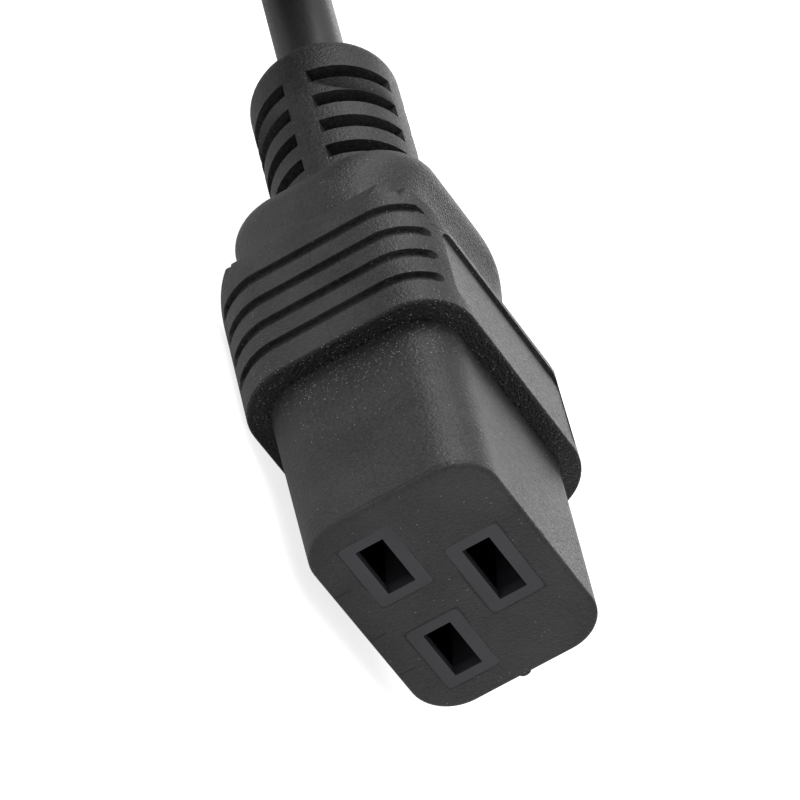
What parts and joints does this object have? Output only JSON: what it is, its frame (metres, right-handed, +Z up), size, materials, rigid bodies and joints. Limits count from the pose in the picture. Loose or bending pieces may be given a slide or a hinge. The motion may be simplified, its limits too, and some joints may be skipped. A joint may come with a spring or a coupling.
{
  "type": "power cord",
  "caption": "Moulded appliance connector with flat blade slots, slotted strain relief and grip ribs, on a round cord that ends in a shrouded inlet plug and lies in a coil.",
  "frame": {"origin": "under the middle of the connector, on the surface that it lies on", "axes": "+Y from the connector's face towards its cord, +Z up, +X across its wide side"},
  "size_m": [0.1071, 0.1689, 0.034],
  "materials": {
    "black_moulding": "fine spark-eroded flexible PVC",
    "carrier_plastic": "smooth hard insert",
    "cord_jacket": "satin extruded PVC",
    "brass_strip": "folded strip",
    "plated_blade": "nickel plated, satin",
    "bare_copper": "bare stranded copper",
    "line_insulation": "brown insulation",
    "neutral_insulation": "blue insulation",
    "earth_insulation": "green and yellow insulation"
  },
  "bodies": {
    "root": {"connector_moulding": "black_moulding", "contact_carrier": "carrier_plastic", "line_contact": "brass_strip", "neutral_contact": "brass_strip", "earth_contact": "brass_strip", "line_strands": "bare_copper", "neutral_strands": "bare_copper", "earth_strands": "bare_copper", "line_core": "line_insulation", "neutral_core": "neutral_insulation", "earth_core": "earth_insulation", "cord_root": "cord_jacket", "cord_lead": "cord_jacket", "cord_coil": "cord_jacket", "cord_tail": "cord_jacket", "plug_cord_root": "cord_jacket", "plug_moulding": "black_moulding", "plug_pin_bridge": "carrier_plastic", "plug_line_pin": "plated_blade", "plug_neutral_pin": "plated_blade", "plug_earth_pin": "plated_blade", "plug_line_strands": "bare_copper", "plug_neutral_strands": "bare_copper", "plug_earth_strands": "bare_copper", "plug_line_core": "line_insulation", "plug_neutral_core": "neutral_insulation", "plug_earth_core": "earth_insulation"}
  },
  "joints": []
}
